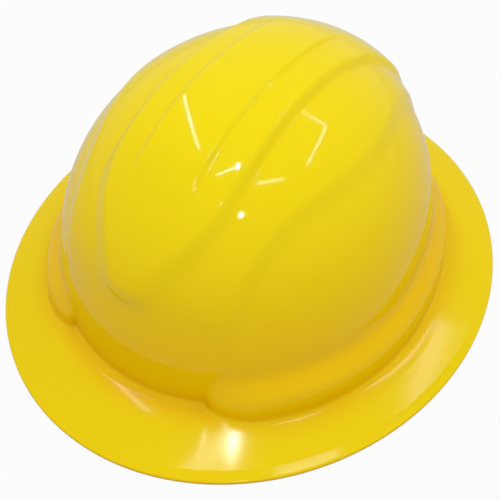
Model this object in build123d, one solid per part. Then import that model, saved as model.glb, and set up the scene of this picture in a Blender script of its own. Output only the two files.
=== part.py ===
from build123d import *
import os
from math import asin, atan, cos, degrees, hypot, pi, radians, sin

# A full brim hard hat. Lengths are in millimetres and angles in degrees.
# The origin lies under the middle of the hat, on the plane that its brim rests on.
# The brow points along -Y, the crown along +Z, and the wearer's left hand is at +X.

# General
cut_over = 12.0             # how far a cutting shape runs past what it cuts
print_gap = 0.3             # gap between soft or curved pieces that only lie together
seat_gap = 0.1              # gap between moulded pieces that are fixed together
quarter_shares = (0, 0.25, 0.5, 0.75, 1)

# Brim
brim_half_length = 165.0
brim_half_width = 143.4
brim_root_height = 11.0     # top face, where it leaves the crown
brim_lip_height = 4.9       # top face, where the bevelled lip starts
brim_edge_height = 3.2      # top of the outer edge
brim_lip_width = 5.0
rim_width = 4.0             # the turned-down rim that the hat rests on
crown_fillet = 8.0          # hollow fillet between crown and brim
fillet_lap = 0.4            # how far the fillet starts inside the crown wall
fillet_turn = 76.0          # the fillet turns this far from upright, near the brim's own slope

# Crown
crown_half_width = 104.0
crown_front_length = 114.5  # from the widest section to the brow
crown_rear_length = 134.6   # from the widest section to the nape
crown_rise = 125.0
crown_foot_height = 12.0
crown_widest_y = -12.0
crown_exponent = 2.226      # 2 is an ellipse, more is squarer
crown_rings = 9
crown_top_share = 0.985     # the last ring of the loft, as a share of the quarter turn
wall = 2.6

# Raised panels on the crown
side_panel_rise = 2.0
centre_panel_rise = 3.0
nose_panel_rise = 3.5
strip_rise = 1.1
panel_foot = 10.0           # how far a panel's side faces run below its edge
panel_head = 9.0            # how far they run above the crown's middle line
side_panel_slope = 0.8      # run over rise of a panel's side face
centre_panel_slope = 1.0
strip_slope = 1.9
panel_end_slope = 1.6       # run over rise of the centre panel's nose and tail
side_panel_half = 68.0
centre_panel_half = 31.0
strip_half = 16.0
# Each panel edge: the angle over the crown from the brow, and the share of the half width there
side_panel_shares = ((20, 0.74), (37, 0.75), (60, 0.82), (75, 0.94), (90, 1.0), (105, 0.97),
                     (120, 0.88), (135, 0.82), (150, 0.76), (165, 0.74))
centre_panel_shares = ((33, 0.35), (39, 0.52), (45, 0.72), (50, 0.87), (56, 0.98), (70, 1.0),
                       (90, 1.0), (110, 1.0), (125, 0.97), (133, 0.84), (140, 0.65), (147, 0.4))
strip_shares = ((58, 0.95), (70, 1.0), (90, 1.0), (108, 1.0), (122, 0.95))

# Side bosses, low domes that stand out where crown and brim meet
boss_half_width = 114.2
boss_front_length = 112.5
boss_rear_length = 131.6
boss_height = 36.5
boss_foot_height = 6.0
boss_hollow_length = 120.0
# Boss rings: share of the half width, and share of the height
boss_shares = ((1.0, 0.0), (0.996, 0.2), (0.99, 0.46), (0.968, 0.69), (0.92, 0.85),
               (0.856, 0.95), (0.766, 1.0))

# Head outline, inside face of the headband: two arcs and their tangents
head_front_radius = 72.0
head_front_y = -33.0
head_rear_radius = 78.0
head_rear_y = 18.0

# Headband
band_thickness = 1.8
band_bottom = 4.0
band_top = 31.5
rail_height = 7.0           # the headband's rear arms above the nape band
band_full_reach = 11.0      # how far the full height runs behind the pivots
rail_end_angle = 30.0       # the rear arms end this far from the rear

# Crown straps, looped round the keys
strap_angle = 36.0          # strap line from the front-to-rear axis, in plan
strap_cross_y = -4.5
strap_half_span = 97.6
strap_width = 18.0
strap_thickness = 1.5
strap_top = 100.0
strap_spring_height = 45.0  # where the strap turns from upright to arch
strap_sewn_length = 8.0
strap_gap = 0.2
strap_cross_gap = 0.7       # between the straps at the middle of their crossing
patch_side = 25.0
patch_thickness = 1.2

# Suspension keys
key_shelf_bottom = 34.0
key_shelf_thickness = 3.0
key_shelf_inner = 94.0      # all four reaches are measured from the strap crossing
key_bar_width = 2.5
key_half_width = 15.0
key_tongue_inner = 101.2
key_tongue_thickness = 2.0
key_tongue_half_width = 8.0
key_tongue_height = 12.0
key_lip_height = 1.5        # rounded lead-in at the tongue's top
stud_radius = 2.0
stud_clearance = 0.15
stud_offset = 12.2
stud_reach = 99.2
stud_height = 4.2
lug_width = 4.2
lug_inner = 85.0            # inside the headband, whose face trims it
lug_outer = 101.6
lug_depth = 5.5

# Shell sockets for the keys
socket_wall = 1.8
socket_gap = 0.3

# Brow pad
pad_thickness = 4.0
pad_overhang = 1.0          # how far the pad hangs below the headband
pad_end_y = -18.0

# Nape band, which swings at the temples
nape_height = 14.5          # height of the pivots and of the ratchet's axle
nape_gap = 1.0              # between headband and nape band at the pivots
nape_wall = 1.4
sleeve_height = 18.0
sleeve_start_angle = 47.0   # angles run from the rear, about the head's rear centre
sleeve_end_angle = 85.0
channel_over_angle = 15.0   # how far a sleeve's channel is cut past its ends

# Nape pivots
pivot_radius = 2.5
pivot_fit = 0.08
pivot_head_radius = 4.6
pivot_head_thickness = 1.2
pivot_washer_radius = 6.0

# Rack tails and pinion
tail_thickness = 1.6
tail_height = 15.0
tail_gap = 0.35
tail_root_angle = 72.0
tail_free_angle = -22.0
tail_tighten = 18.0         # travel of each tail, as an angle
tail_loosen = 11.0
pinion_teeth = 10
pinion_pitch_radius = 3.8
pinion_tip = 0.6            # tooth above the pitch circle
pinion_root = 0.85          # tooth below the pitch circle
rack_tip = 0.55
rack_root = 0.85
rack_backlash = 0.32
tooth_slope = 20.0
pinion_hub_radius = 3.0
pinion_hub_fit = 0.08
pinion_square = 3.6
pinion_pin_radius = 1.6
slot_side_gap = 0.6

# Ratchet housing
plate_thickness = 1.5
plate_half_angle = 19.0
cover_half_angle = 21.0
cover_height = 22.0
cover_wall = 1.8
cover_ring_radius = 10.3
cover_ring_wall = 1.3
cover_ring_height = 3.0
click_teeth = 30
click_tooth_depth = 0.5
screw_radius = 1.1
screw_head_radius = 2.0
screw_head_height = 1.0
screw_skin = 1.4            # cover left outside a screw's tip
screw_tip_gap = 0.7
screw_angle = 16.0
screw_offset = 9.2

# Knob
knob_radius = 12.2
knob_length = 8.0
knob_wall = 1.6
knob_gap = 0.5
knob_crown = 1.2
grip_thickness = 1.3
grip_inset = 1.2
grip_ribs = 20
grip_rib_radius = 0.9
spring_thickness = 1.2
spring_hub_radius = 4.4
spring_arm_width = 1.1
spring_gap = 0.35
spring_spoke_angle = 28.0
axle_screw_radius = 1.2
axle_screw_head_radius = 3.0
axle_screw_head_height = 1.2
axle_screw_slot = 0.8

# Nape pad
nape_pad_thickness = 4.2
nape_pad_half_angle = 24.0
nape_pad_height = 22.0


def half_ring(half_width, front, rear, y, z):
    """A level ring of two half ellipses that share the widest section."""
    brow = Edge.make_ellipse(half_width, front, Plane.XY, 180, 360)
    nape = Edge.make_ellipse(half_width, rear, Plane.XY, 0, 180)
    return Pos(0, y, z) * Wire([brow, nape])


def dome(half_width, front, rear, rise, foot):
    """A filled crown whose straight foot runs down to the given height."""
    rings = []
    for step in range(crown_rings + 1):
        turn = radians(90 * crown_top_share * step / crown_rings)
        across = cos(turn) ** (2 / crown_exponent)
        up = crown_foot_height + rise * sin(turn) ** (2 / crown_exponent)
        rings.append(half_ring(half_width * across, front * across, rear * across, crown_widest_y, up))
    low = half_ring(half_width, front, rear, crown_widest_y, foot)
    return Solid.make_loft([low, rings[0]], ruled=True) + Solid.make_loft(rings)


def crown_reach(angle, across):
    """Height of the crown over its foot centre, at an angle from the brow and a distance across."""
    length = crown_front_length if angle < 90 else crown_rear_length
    along = abs(cos(radians(angle))) / length
    up = sin(radians(angle)) / crown_rise
    beside = 1 - (across / crown_half_width) ** crown_exponent
    return (beside / (along ** crown_exponent + up ** crown_exponent)) ** (1 / crown_exponent)


def panel_band(shares, half_width, slope, rise, inset):
    """A band over the crown, from brow to nape, with sloping side and end faces."""
    sections = []
    narrowing = inset * (hypot(1, slope) - slope)
    end_shift = degrees(inset * (hypot(1, panel_end_slope) - panel_end_slope) / crown_rise)
    for angle, share in shares:
        lean = 0
        if angle == shares[0][0]:
            lean, angle = degrees(atan(panel_end_slope)), angle + end_shift
        if angle == shares[-1][0]:
            lean, angle = -degrees(atan(panel_end_slope)), angle - end_shift
        half = half_width * share
        middle = crown_reach(angle, half) + rise - inset
        top = crown_reach(angle, 0) + panel_head - inset - middle
        foot = (0, crown_widest_y, crown_foot_height)
        along = Vector(0, -cos(radians(angle)), sin(radians(angle)))
        facing = Vector(0, -sin(radians(angle + lean)), -cos(radians(angle + lean)))
        outward = Plane(Vector(foot) + along * middle, x_dir=(1, 0, 0), z_dir=facing)
        wide = half - narrowing + slope * panel_foot
        narrow = max(half - narrowing - slope * top, wall)
        low, high = -panel_foot / cos(radians(lean)), top / cos(radians(lean))
        points = [(-wide, low), (wide, low), (narrow, high), (-narrow, high)]
        sections.append(outward * Wire.make_polygon(points))
    return Solid.make_loft(sections)


def raised_panel(shares, half_width, slope, side_rise, brow_rise, top_rise, inset):
    """The part of a slightly larger crown that lies inside a band."""
    larger = dome(
        crown_half_width + side_rise - inset,
        crown_front_length + brow_rise - inset,
        crown_rear_length + brow_rise - inset,
        crown_rise + top_rise - inset,
        crown_foot_height - wall,
    )
    return panel_band(shares, half_width, slope, top_rise / 2, inset) & larger


def side_bosses(inset):
    """A low wide dome whose brow and nape lie inside the crown, so that its sides show."""
    rings = []
    for width_share, height_share in boss_shares:
        half_width = boss_half_width * width_share - inset
        front = boss_front_length * width_share - inset
        rear = boss_rear_length * width_share - inset
        up = boss_foot_height + (boss_height - boss_foot_height - inset) * height_share
        rings.append(half_ring(half_width, front, rear, crown_widest_y, up))
    bosses = Solid.make_loft(rings)
    if inset > 0:
        bosses = bosses & Pos(0, crown_widest_y, 0) * Box(
            2 * brim_half_width, boss_hollow_length, 2 * boss_height
        )
    return bosses


def brim_ring(outward, up):
    """A level ring that lies outward from the crown's foot towards the brim's edge."""
    share = outward / (brim_half_width - crown_half_width)
    half_width = crown_half_width + outward
    widest = crown_widest_y * (1 - share)
    brow = (crown_widest_y - crown_front_length) * (1 - share) - brim_half_length * share
    nape = (crown_widest_y + crown_rear_length) * (1 - share) + brim_half_length * share
    return half_ring(half_width, widest - brow, nape - widest, widest, up)


def brim_body(inset):
    """The filled brim with the fillet to the crown; inset gives its underside."""
    radius = crown_fillet + inset
    full = brim_half_width - crown_half_width
    start = -fillet_lap - inset
    edge = full - (rim_width if inset > 0 else brim_lip_width)
    root, lip = brim_root_height - inset, brim_lip_height - inset
    rings = []
    for share in quarter_shares:
        turn = radians(fillet_turn * share)
        rings.append(brim_ring(start + radius - radius * cos(turn), root + radius - radius * sin(turn)))
    slope = [rings[-1], brim_ring(edge, lip)]
    if inset > 0:
        slope.append(brim_ring(edge, -cut_over))
    else:
        slope += [brim_ring(full, brim_edge_height), brim_ring(full, 0)]
    return Solid.make_loft(rings) + Solid.make_loft(slope, ruled=True)


def hat_body(inset):
    """The whole filled hat, inside the outer surface by the inset."""
    body = dome(
        crown_half_width - inset,
        crown_front_length - inset,
        crown_rear_length - inset,
        crown_rise - inset,
        -cut_over if inset > 0 else 0,
    )
    body += raised_panel(
        side_panel_shares, side_panel_half, side_panel_slope,
        side_panel_rise, 0, side_panel_rise, inset,
    )
    both = side_panel_rise + centre_panel_rise
    body += raised_panel(
        centre_panel_shares, centre_panel_half, centre_panel_slope,
        both, nose_panel_rise, both, inset,
    )
    if inset == 0:
        top = both + strip_rise
        body += raised_panel(
            strip_shares, strip_half, strip_slope, both, centre_panel_rise, top, inset
        )
    body += side_bosses(inset)
    return body + brim_body(inset)


def key_places():
    """Name and frame of each key: X outward along its strap, Z up, on the strap crossing."""
    for name, turn in (
        ("front_left", -90 + strap_angle),
        ("front_right", -90 - strap_angle),
        ("rear_left", 90 - strap_angle),
        ("rear_right", 90 + strap_angle),
    ):
        yield name, Pos(0, strap_cross_y, 0) * Rot(0, 0, turn)


def slab(x0, x1, y0, y1, z0, z1):
    """A box between two corners."""
    return Pos((x0 + x1) / 2, (y0 + y1) / 2, (z0 + z1) / 2) * Box(x1 - x0, y1 - y0, z1 - z0)


tongue_bottom = key_shelf_bottom + key_shelf_thickness
tongue_top = tongue_bottom + key_tongue_height
tongue_outer = key_tongue_inner + key_tongue_thickness


def key_socket():
    """The pocket block for one key and the slot in it, in the key's frame."""
    half = key_tongue_half_width + socket_gap
    bottom = tongue_bottom + key_lip_height
    block = slab(
        key_tongue_inner - socket_gap - socket_wall,
        tongue_outer + cut_over,
        -half - socket_wall,
        half + socket_wall,
        bottom,
        tongue_top + socket_gap + socket_wall,
    )
    slot = slab(
        key_tongue_inner - socket_gap,
        tongue_outer + socket_gap,
        -half,
        half,
        bottom - cut_over,
        tongue_top + socket_gap,
    )
    return block - slot


def shell():
    cavity = hat_body(wall)
    for name, place in key_places():
        cavity -= place * key_socket()
    return hat_body(0) - cavity


def suspension_key():
    """Shelf with a strap slot and two stud holes, and the tongue that slides into the socket."""
    slot_inner = key_shelf_inner + key_bar_width
    slot_outer = slot_inner + strap_thickness + 2 * socket_gap
    shelf = slab(
        key_shelf_inner, key_tongue_inner, -key_half_width, key_half_width,
        key_shelf_bottom, tongue_bottom,
    )
    shelf = fillet(shelf.edges().filter_by(Axis.Z), key_shelf_thickness)
    tongue = slab(
        key_tongue_inner, tongue_outer, -key_tongue_half_width, key_tongue_half_width,
        key_shelf_bottom, tongue_top,
    )
    tongue = fillet(tongue.edges().filter_by(Axis.X).group_by(Axis.Z)[-1], key_lip_height)
    half = strap_width / 2 + strap_gap
    slot = slab(
        slot_inner, slot_outer, -half, half, key_shelf_bottom - cut_over, tongue_bottom + cut_over
    )
    key = shelf + tongue - slot
    for side in (-1, 1):
        hole = Cylinder(stud_radius + stud_clearance, 2 * cut_over)
        key -= Pos(stud_reach, side * stud_offset, key_shelf_bottom) * hole
    return key


def crown_strap(turn, lift):
    """One strap: an arch of webbing with a sewn loop round the key's bar at each end."""
    middle = strap_half_span
    top = strap_top + lift
    half = strap_thickness / 2
    rise = top - strap_spring_height
    arch = Ellipse(middle + half, rise + half) - Ellipse(middle - half, rise - half)
    arch = Pos(0, strap_spring_height) * (arch & Pos(0, top / 2) * Rectangle(3 * middle, top))
    loop_inner = key_shelf_inner - strap_gap
    loop_low = key_shelf_bottom - strap_gap
    loop_high = tongue_bottom + strap_gap
    loop = Pos((loop_inner + middle - half) / 2, (loop_low + loop_high) / 2) * Rectangle(
        middle - half - loop_inner, loop_high - loop_low
    )
    loop_band = offset(loop, strap_thickness) - loop
    upright = Pos(middle, (loop_low + strap_spring_height) / 2) * Rectangle(
        strap_thickness, strap_spring_height - loop_low
    )
    sewn_low = loop_high + strap_thickness
    sewn = Pos(middle - strap_thickness, sewn_low + strap_sewn_length / 2) * Rectangle(
        strap_thickness, strap_sewn_length
    )
    end = loop_band + upright + sewn
    outline = arch + end + mirror(end, Plane.YZ)
    strap = extrude(Plane.XZ * outline, strap_width / 2, both=True)
    return Pos(0, strap_cross_y, 0) * Rot(0, 0, turn) * strap


def head_outline(out):
    """The head's plan, out from the headband's inside face: two circles and their tangents."""
    front = head_front_radius + out
    rear = head_rear_radius + out
    lean = asin((rear - front) / (head_rear_y - head_front_y))
    flank = Polygon(
        (front * cos(lean), head_front_y - front * sin(lean)),
        (rear * cos(lean), head_rear_y - rear * sin(lean)),
        (-rear * cos(lean), head_rear_y - rear * sin(lean)),
        (-front * cos(lean), head_front_y - front * sin(lean)),
        align=None,
    )
    return Pos(0, head_front_y) * Circle(front) + Pos(0, head_rear_y) * Circle(rear) + flank


def head_band(inner, outer, bottom, top):
    """An upright band round the head outline."""
    return Pos(0, 0, bottom) * extrude(head_outline(outer) - head_outline(inner), top - bottom)


def rear_sector(inner, outer, start, end, bottom, top):
    """An upright block between two radii and two angles from the rear, positive to the left."""
    radius = head_rear_radius + outer
    first, last = max(start, end), min(start, end)
    turns = [radians(first + (last - first) * share) for share in quarter_shares]
    corners = [(2 * radius * sin(turn), 2 * radius * cos(turn)) for turn in turns]
    wedge = Polygon((0, 0), *corners, align=None)
    ring = Circle(radius) - Circle(head_rear_radius + inner)
    return Pos(0, head_rear_y, bottom) * extrude(ring & wedge, top - bottom)


def pivot_place(side):
    """Frame of a nape pivot: Z outward, on the headband's inside face."""
    return Pos(side * head_rear_radius, head_rear_y, nape_height) * Rot(0, side * 90, 0)


def headband():
    """Full height round the brow and temples, then two narrow arms to the rear keys."""
    full = head_band(0, band_thickness, band_bottom, band_top)
    front_end = head_rear_y + band_full_reach
    full &= slab(
        -brim_half_width, brim_half_width, -brim_half_length, front_end, 0, band_top + cut_over
    )
    band = full
    for side in (-1, 1):
        band += rear_sector(
            0, band_thickness, side * rail_end_angle, side * 90, band_top - rail_height, band_top
        )
        washer = Cylinder(
            pivot_washer_radius,
            band_thickness + nape_gap - print_gap,
            align=(Align.CENTER, Align.CENTER, Align.MIN),
        )
        hole = Cylinder(pivot_radius + pivot_fit, 2 * cut_over)
        band += pivot_place(side) * washer
        band -= pivot_place(side) * hole
    head = extrude(head_outline(0), tongue_top)
    for name, place in key_places():
        for side in (-1, 1):
            lug = slab(
                lug_inner, lug_outer,
                side * stud_offset - lug_width / 2, side * stud_offset + lug_width / 2,
                key_shelf_bottom - lug_depth, key_shelf_bottom,
            )
            stud = Pos(stud_reach, side * stud_offset, key_shelf_bottom - lug_depth / 2) * Cylinder(
                stud_radius, lug_depth / 2 + stud_height, align=(Align.CENTER, Align.CENTER, Align.MIN)
            )
            band += place * (lug + stud) - head
    return band


def brow_pad():
    """Foam pad inside the headband, round the brow."""
    pad = head_band(-pad_thickness - seat_gap, -seat_gap, band_bottom - pad_overhang, band_top)
    return pad & slab(
        -brim_half_width, brim_half_width, -brim_half_length, pad_end_y, 0, band_top + cut_over
    )


# Layers of the nape band, tails and ratchet, out from the head's rear circle
nape_inner = band_thickness + nape_gap
nape_outer = nape_inner + nape_wall
right_tail_inner = nape_outer + tail_gap
right_tail_outer = right_tail_inner + tail_thickness
left_tail_inner = right_tail_outer + tail_gap
left_tail_outer = left_tail_inner + tail_thickness
cover_inner = left_tail_outer + tail_gap
cover_outer = cover_inner + cover_wall
knob_start = cover_outer + knob_gap
knob_end = knob_start + knob_length
plate_outer = nape_inner - seat_gap
plate_inner = plate_outer - plate_thickness
sleeve_low = nape_height - sleeve_height / 2
sleeve_high = nape_height + sleeve_height / 2
tail_low = nape_height - tail_height / 2
tail_high = nape_height + tail_height / 2


def axle_turned(radius, start, end):
    """A cylinder on the ratchet's axle, between two distances out from the head."""
    body = Cylinder(radius, end - start, align=(Align.CENTER, Align.CENTER, Align.MIN))
    return Pos(0, head_rear_y + head_rear_radius + start, nape_height) * Rot(-90, 0, 0) * body


def axle_prism(outline, start, end):
    """A plan outline, X across and Y up, carried along the ratchet's axle."""
    face = Rot(-90, 0, 0) * (Rot(180, 0, 0) * extrude(outline, start - end))
    return Pos(0, head_rear_y + head_rear_radius + start, nape_height) * face


def screw_places():
    """Frames of the cover screws: Z outward from the head."""
    for turn in (-screw_angle, screw_angle):
        for side in (-1, 1):
            lift = nape_height + side * screw_offset
            yield Pos(0, head_rear_y, lift) * Rot(0, 0, -turn) * Rot(-90, 0, 0)


def screw_hole(radius, start, end):
    """A bore for a cover screw between two distances out from the head's rear circle."""
    body = Cylinder(radius, end - start, align=(Align.CENTER, Align.CENTER, Align.MIN))
    return Pos(0, 0, head_rear_radius + start) * body


def nape_band():
    """Inner strip from pivot to pivot, with a sleeve on each side that guides a rack tail."""
    band = rear_sector(nape_inner, nape_outer, -90, 90, sleeve_low, sleeve_high)
    for side, inner in ((1, left_tail_inner), (-1, right_tail_inner)):
        outer = inner + tail_thickness + tail_gap
        start, end = side * sleeve_start_angle, side * sleeve_end_angle
        sleeve = rear_sector(nape_inner, outer + nape_wall, start, end, sleeve_low, sleeve_high)
        channel = rear_sector(
            inner - tail_gap, outer, start - side * channel_over_angle, end + side * channel_over_angle,
            tail_low - tail_gap, tail_high + tail_gap,
        )
        ear = Pos(0, 0, nape_inner) * Cylinder(
            sleeve_height / 2, nape_wall, align=(Align.CENTER, Align.CENTER, Align.MIN)
        )
        band = band + (sleeve - channel) + pivot_place(side) * ear
        band -= pivot_place(side) * Cylinder(pivot_radius + pivot_fit, 2 * cut_over)
    start, end = nape_inner - cut_over, nape_outer + cut_over
    band -= axle_turned(pinion_pin_radius + pinion_hub_fit, start, end)
    for place in screw_places():
        band -= place * screw_hole(screw_radius + seat_gap, start, end)
    return band


def nape_pivot(side):
    """Snap rivet: a flush head inside the headband, a pin, and a head outside the nape band."""
    inner_head = Pos(0, 0, -pivot_head_thickness - print_gap) * Cylinder(
        pivot_head_radius, pivot_head_thickness, align=(Align.CENTER, Align.CENTER, Align.MIN)
    )
    length = nape_outer + print_gap
    pin = Pos(0, 0, -print_gap) * Cylinder(
        pivot_radius, length + print_gap, align=(Align.CENTER, Align.CENTER, Align.MIN)
    )
    outer_head = Pos(0, 0, length) * Cylinder(
        pivot_head_radius, pivot_head_thickness, align=(Align.CENTER, Align.CENTER, Align.MIN)
    )
    return pivot_place(side) * (inner_head + pin + outer_head)


rack_radius = head_rear_radius + (right_tail_inner + left_tail_outer) / 2
tail_turn_per_knob = pinion_pitch_radius / rack_radius
rack_step = 360 / pinion_teeth * tail_turn_per_knob


def rack_tail(inner, up):
    """A toothed strip on the left side; up is 1 with teeth over the axle, -1 under it."""
    outer = inner + tail_thickness
    tail = rear_sector(inner, outer, tail_free_angle, tail_root_angle, tail_low, tail_high)
    radius = head_rear_radius + (inner + outer) / 2
    tooth_pitch = radius * radians(rack_step)
    tip_radius = pinion_pitch_radius + pinion_tip
    toothed = pinion_pitch_radius - rack_tip
    plain = tip_radius + slot_side_gap
    reach = degrees((tip_radius + slot_side_gap) / radius)
    start, end = -tail_loosen - reach, tail_tighten + reach
    low = nape_height - (plain if up > 0 else toothed)
    high = nape_height + (toothed if up > 0 else plain)
    tail -= rear_sector(inner - cut_over, outer + cut_over, start, end, low, high)
    half = (tooth_pitch / 2 + rack_backlash) / 2
    slope = sin(radians(tooth_slope)) / cos(radians(tooth_slope))
    mouth, floor = -rack_tip - rack_backlash, rack_root
    gap = Polygon(
        (half - mouth * slope, pinion_pitch_radius + mouth),
        (half - floor * slope, pinion_pitch_radius + floor),
        (-half + floor * slope, pinion_pitch_radius + floor),
        (-half + mouth * slope, pinion_pitch_radius + mouth),
        align=None,
    )
    if up < 0:
        gap = mirror(gap, Plane.XZ)
    cutter = Pos(0, radius, 0) * extrude(Plane.XZ * gap, tail_thickness, both=True)
    cutters = []
    for step in range(int(start / rack_step), int(end / rack_step)):
        cutters.append(Pos(0, head_rear_y, nape_height) * Rot(0, 0, -step * rack_step) * cutter)
    return tail - cutters


def pinion_outline():
    """Ten straight-sided teeth round a root circle."""
    half_pitch = pi * pinion_pitch_radius / pinion_teeth / 2
    tooth = Polygon(
        (half_pitch, pinion_pitch_radius - pinion_root - rack_backlash),
        (half_pitch - rack_backlash / 2, pinion_pitch_radius),
        (half_pitch / 2, pinion_pitch_radius + pinion_tip),
        (-half_pitch / 2, pinion_pitch_radius + pinion_tip),
        (-half_pitch + rack_backlash / 2, pinion_pitch_radius),
        (-half_pitch, pinion_pitch_radius - pinion_root - rack_backlash),
        align=None,
    )
    outline = Circle(pinion_pitch_radius - pinion_root)
    for step in range(pinion_teeth):
        outline += Rot(0, 0, 360 * step / pinion_teeth) * tooth
    return outline


spring_start = cover_outer + spring_gap
square_end = knob_end - axle_screw_head_height - knob_wall


def drive_pinion():
    """Teeth through both tails, a pin into the nape band, and a square for the knob."""
    teeth = axle_prism(pinion_outline(), nape_outer + tail_gap / 2, left_tail_outer + tail_gap / 2)
    pin = axle_turned(pinion_pin_radius, nape_inner, right_tail_inner)
    hub = axle_turned(pinion_hub_radius, left_tail_outer, spring_start)
    square = axle_prism(Rectangle(pinion_square, pinion_square), left_tail_outer, square_end)
    bore = axle_turned(axle_screw_radius, knob_start, square_end + cut_over)
    return teeth + pin + hub + square - bore


def ratchet_back_plate():
    """Curved plate between the nape band and the nape pad, with sunk screw holes."""
    low, high = nape_height - cover_height / 2, nape_height + cover_height / 2
    plate = rear_sector(plate_inner, plate_outer, -plate_half_angle, plate_half_angle, low, high)
    for place in screw_places():
        sunk = plate_inner + screw_head_height + seat_gap
        plate -= place * screw_hole(screw_radius + seat_gap, sunk, plate_outer + cut_over)
        plate -= place * screw_hole(screw_head_radius + seat_gap, plate_inner - cut_over, sunk)
    return plate


def ratchet_cover():
    """Curved cover over both tails, with the click ring standing round the axle."""
    low, high = nape_height - cover_height / 2, nape_height + cover_height / 2
    cover = rear_sector(
        nape_outer + seat_gap, cover_outer, -cover_half_angle, cover_half_angle, low, high
    )
    cover -= rear_sector(
        nape_inner, cover_inner, -2 * cover_half_angle, 2 * cover_half_angle,
        tail_low - tail_gap, tail_high + tail_gap,
    )
    ring_end = cover_outer + cover_ring_height
    ring = axle_turned(cover_ring_radius, cover_outer - cover_wall / 2, ring_end)
    inside = cover_ring_radius - cover_ring_wall
    notches = []
    for step in range(2 * click_teeth):
        radius = inside - click_tooth_depth * (step % 2)
        turn = pi * step / click_teeth
        notches.append((radius * cos(turn), radius * sin(turn)))
    cover += ring - axle_prism(Polygon(*notches, align=None), cover_inner, ring_end + cut_over)
    cover -= axle_turned(pinion_hub_radius + pinion_hub_fit, left_tail_outer, cover_outer + cut_over)
    hole_end = cover_outer - screw_skin + screw_tip_gap
    for place in screw_places():
        cover -= place * screw_hole(screw_radius + seat_gap, nape_inner, hole_end)
    return cover


def cover_screws():
    """Four small screws, driven from the head side into the cover's rims."""
    screws = []
    for place in screw_places():
        head = screw_hole(screw_head_radius, plate_inner, plate_inner + screw_head_height)
        shank = screw_hole(screw_radius, plate_inner, cover_outer - screw_skin)
        screws.append(place * (head + shank))
    return Compound(children=screws)


def ratchet_knob():
    """Hollow knob over the click ring, with a square hole on the pinion."""
    ring_top = cover_outer + cover_ring_height + spring_gap
    knob = axle_turned(knob_radius, knob_start, knob_end)
    rim = knob.edges().filter_by(GeomType.CIRCLE).group_by(Axis.Y)[-1]
    knob = fillet(rim, knob_crown)
    knob -= axle_turned(cover_ring_radius + spring_gap, knob_start - cut_over, ring_top)
    side = pinion_square + 2 * seat_gap
    knob -= axle_prism(Rectangle(side, side), knob_start, square_end + seat_gap)
    knob -= axle_turned(axle_screw_radius + seat_gap, knob_start, knob_end + cut_over)
    head_start = knob_end - axle_screw_head_height
    return knob - axle_turned(axle_screw_head_radius + seat_gap, head_start, knob_end + cut_over)


def knob_grip():
    """Soft ring round the knob with hollows for the fingers."""
    outer = knob_radius + seat_gap + grip_thickness
    grip = axle_turned(outer, knob_start + grip_inset, knob_end - grip_inset)
    grip -= axle_turned(knob_radius + seat_gap, knob_start, knob_end)
    cutters = []
    for step in range(grip_ribs):
        turn = 2 * pi * step / grip_ribs
        reach = outer + grip_rib_radius / 3
        groove = Pos(reach * cos(turn), reach * sin(turn)) * Circle(grip_rib_radius)
        cutters.append(axle_prism(groove, knob_start, knob_end))
    return grip - cutters


def click_spring():
    """Flat spring on the axle: a square-holed hub and two arms that reach towards the ring."""
    tip = cover_ring_radius - cover_ring_wall - click_tooth_depth - spring_gap
    arms = Circle(tip) - Circle(tip - spring_arm_width)
    arms &= Rectangle(2 * tip, tip)
    spokes = Rot(0, 0, spring_spoke_angle) * Rectangle(2 * tip - spring_arm_width, spring_arm_width)
    outline = Circle(spring_hub_radius) + arms + spokes
    side = pinion_square + 2 * seat_gap
    outline -= Rectangle(side, side)
    return axle_prism(outline, spring_start, spring_start + spring_thickness)


def axle_screw():
    """Slotted screw through the knob into the pinion."""
    head_start = knob_end - axle_screw_head_height
    head = axle_turned(axle_screw_head_radius, head_start, knob_end)
    shank = axle_turned(axle_screw_radius - seat_gap, knob_start + knob_gap, head_start)
    groove = Rectangle(3 * axle_screw_head_radius, axle_screw_slot)
    return head + shank - axle_prism(groove, knob_end - axle_screw_slot, knob_end + cut_over)


def nape_pad():
    """Soft pad between the ratchet and the nape."""
    low, high = nape_height - nape_pad_height / 2, nape_height + nape_pad_height / 2
    outer = plate_inner - seat_gap
    return rear_sector(
        outer - nape_pad_thickness, outer, -nape_pad_half_angle, nape_pad_half_angle, low, high
    )


def crown_patch():
    """The square sewn over the crossing of the two straps."""
    bottom = strap_top + 1.5 * strap_thickness + strap_cross_gap + seat_gap
    patch = Box(patch_side, patch_side, patch_thickness, align=(Align.CENTER, Align.CENTER, Align.MIN))
    return Pos(0, strap_cross_y, bottom) * patch


pieces = {
    "shell": shell(),
    "crown_strap_left_to_right": crown_strap(90 - strap_angle, 0),
    "crown_strap_right_to_left": crown_strap(90 + strap_angle, strap_thickness + strap_cross_gap),
    "crown_patch": crown_patch(),
    "headband": headband(),
    "brow_pad": brow_pad(),
    "nape_band": nape_band(),
    "nape_pivot_left": nape_pivot(1),
    "nape_pivot_right": nape_pivot(-1),
    "rack_tail_left": rack_tail(left_tail_inner, 1),
    "rack_tail_right": mirror(rack_tail(right_tail_inner, -1), Plane.YZ),
    "drive_pinion": drive_pinion(),
    "ratchet_back_plate": ratchet_back_plate(),
    "ratchet_cover": ratchet_cover(),
    "cover_screws": cover_screws(),
    "ratchet_knob": ratchet_knob(),
    "knob_grip": knob_grip(),
    "click_spring": click_spring(),
    "axle_screw": axle_screw(),
    "nape_pad": nape_pad(),
}
for key_name, key_place in key_places():
    pieces["suspension_key_" + key_name] = key_place * suspension_key()

os.makedirs("parts", exist_ok=True)
for node, piece in pieces.items():
    export_step(piece, f"parts/{node}.step")
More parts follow.
